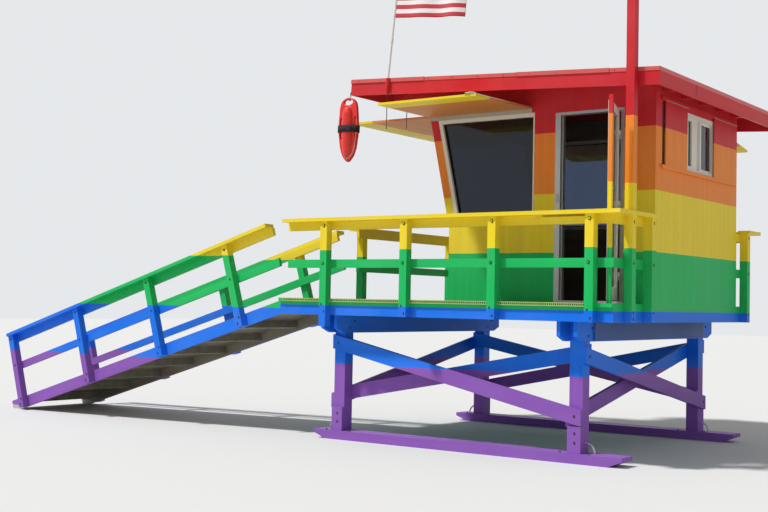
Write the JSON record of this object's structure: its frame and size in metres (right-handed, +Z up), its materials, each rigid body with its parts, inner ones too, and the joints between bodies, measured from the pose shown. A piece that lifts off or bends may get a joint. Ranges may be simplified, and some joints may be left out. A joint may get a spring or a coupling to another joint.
{
  "type": "beach lifeguard tower",
  "caption": "Painted wooden beach lookout hut on a raised railed deck with braced legs, runners, an access ramp, awning shutters and a hinged door.",
  "frame": {"origin": "underside of the near runner, midway between the two near legs, at ground level", "axes": "+X along the deck's long side towards the hut's back wall, -X the ramp end, -Y the side with the door, +Z up"},
  "size_m": [8.958, 4.4472, 5.1964],
  "materials": {
    "purple_paint": "weathered matt paint",
    "blue_paint": "weathered matt paint",
    "green_paint": "weathered matt paint",
    "yellow_paint": "weathered matt paint",
    "orange_paint": "weathered matt paint",
    "red_paint": "weathered matt paint",
    "bare_wood": "bare weathered plywood",
    "aluminium": "dull mill finish",
    "window_frame": "pale dull finish",
    "glass": "dark tinted",
    "galvanised": "dull, lightly rusted",
    "pole": "white gloss",
    "flag_cloth": "woven nylon",
    "float_plastic": "satin moulded"
  },
  "bodies": {
    "tower": {"skids": "purple_paint", "legs": "purple_paint", "foot_plates": "purple_paint", "tow_hoops": "galvanised", "outer_braces": "purple_paint", "inner_braces": "purple_paint", "cap_beams": "blue_paint", "beam_cover_board": "blue_paint", "deck_side_rims": "blue_paint", "deck_end_rims": "blue_paint", "deck_joists": "blue_paint", "deck_planks": "green_paint", "rail_posts": "green_paint", "side_rail_boards": "green_paint", "end_rail_boards": "green_paint", "side_rail_caps": "yellow_paint", "end_rail_caps": "yellow_paint", "ramp_stringers": "blue_paint", "ramp_floor": "bare_wood", "ramp_bearers": "bare_wood", "ramp_rail_posts": "green_paint", "ramp_rail_boards": "green_paint", "ramp_rail_caps": "green_paint", "near_wall_front": "yellow_paint", "near_wall_over_door": "red_paint", "near_wall_back": "yellow_paint", "far_wall": "yellow_paint", "front_wall": "yellow_paint", "back_wall": "yellow_paint", "window_frames": "window_frame", "window_glass": "glass", "back_sliding_panels": "orange_paint", "panel_tracks": "orange_paint", "door_frame": "aluminium", "shutter_hinge_strips": "galvanised", "shutter_hooks": "galvanised", "roof_rafters": "red_paint", "roof_sheet": "red_paint", "side_fascias": "red_paint", "end_fascias": "red_paint", "mast": "red_paint", "slim_post": "red_paint", "flagpole": "pole", "flagpole_bracket": "red_paint", "flag": "flag_cloth", "rescue_float": "float_plastic", "float_hook": "galvanised"},
    "door": {"door_leaf": "aluminium", "door_glass": "glass"},
    "shutter_near": {"near_shutter": "orange_paint"},
    "shutter_front": {"front_shutter": "orange_paint"},
    "shutter_far": {"far_shutter": "orange_paint"}
  },
  "joints": [
    {"name": "door_hinge", "type": "hinge", "parent": "tower", "child": "door", "pos_m": [1.5465, 0.584, 1.756], "axis": [0, 0, 1], "range_deg": [-109, 0]},
    {"name": "near_shutter_hinge", "type": "hinge", "parent": "tower", "child": "shutter_near", "pos_m": [-0.08, 0.58, 3.549], "axis": [1, 0, 0], "range_deg": [0, 88.5]},
    {"name": "front_shutter_hinge", "type": "hinge", "parent": "tower", "child": "shutter_front", "pos_m": [-0.7582, 1.722, 3.549], "axis": [0, -1, 0], "range_deg": [0, 102.4]},
    {"name": "far_shutter_hinge", "type": "hinge", "parent": "tower", "child": "shutter_far", "pos_m": [0.5, 2.864, 3.549], "axis": [-1, 0, 0], "range_deg": [0, 82]}
  ]
}
